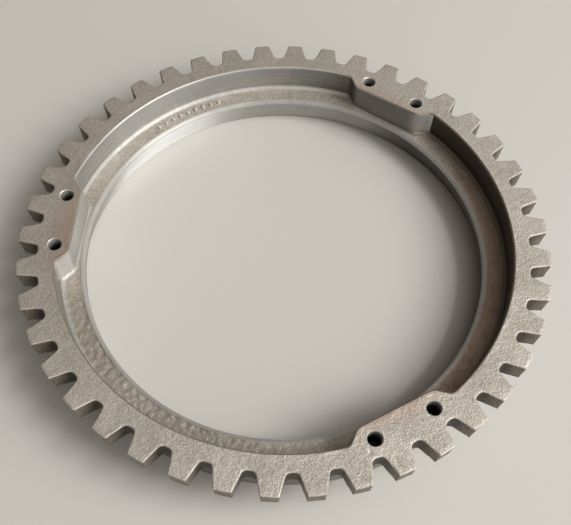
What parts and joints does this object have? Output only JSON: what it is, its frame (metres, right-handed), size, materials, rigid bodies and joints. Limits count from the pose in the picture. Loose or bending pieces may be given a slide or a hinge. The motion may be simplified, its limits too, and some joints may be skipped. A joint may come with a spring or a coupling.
{
  "type": "ring gear",
  "caption": "Flat cast ring gear with coarse outward teeth, a stepped recess with drilled bolting lugs, and a machined tapered bore in a short drum.",
  "frame": {"origin": "centre of the underside, on the gear's axis, where the drum stands on a surface", "axes": "+Z along the gear's axis, from the drum up to the toothed rim; -X through the middle of one bolting lug"},
  "size_m": [0.3516, 0.352, 0.044],
  "materials": {
    "cast_iron": "sand-cast grey iron with turned recess wall and bore"
  },
  "bodies": {
    "root": {"ring_gear": "cast_iron"}
  },
  "joints": []
}
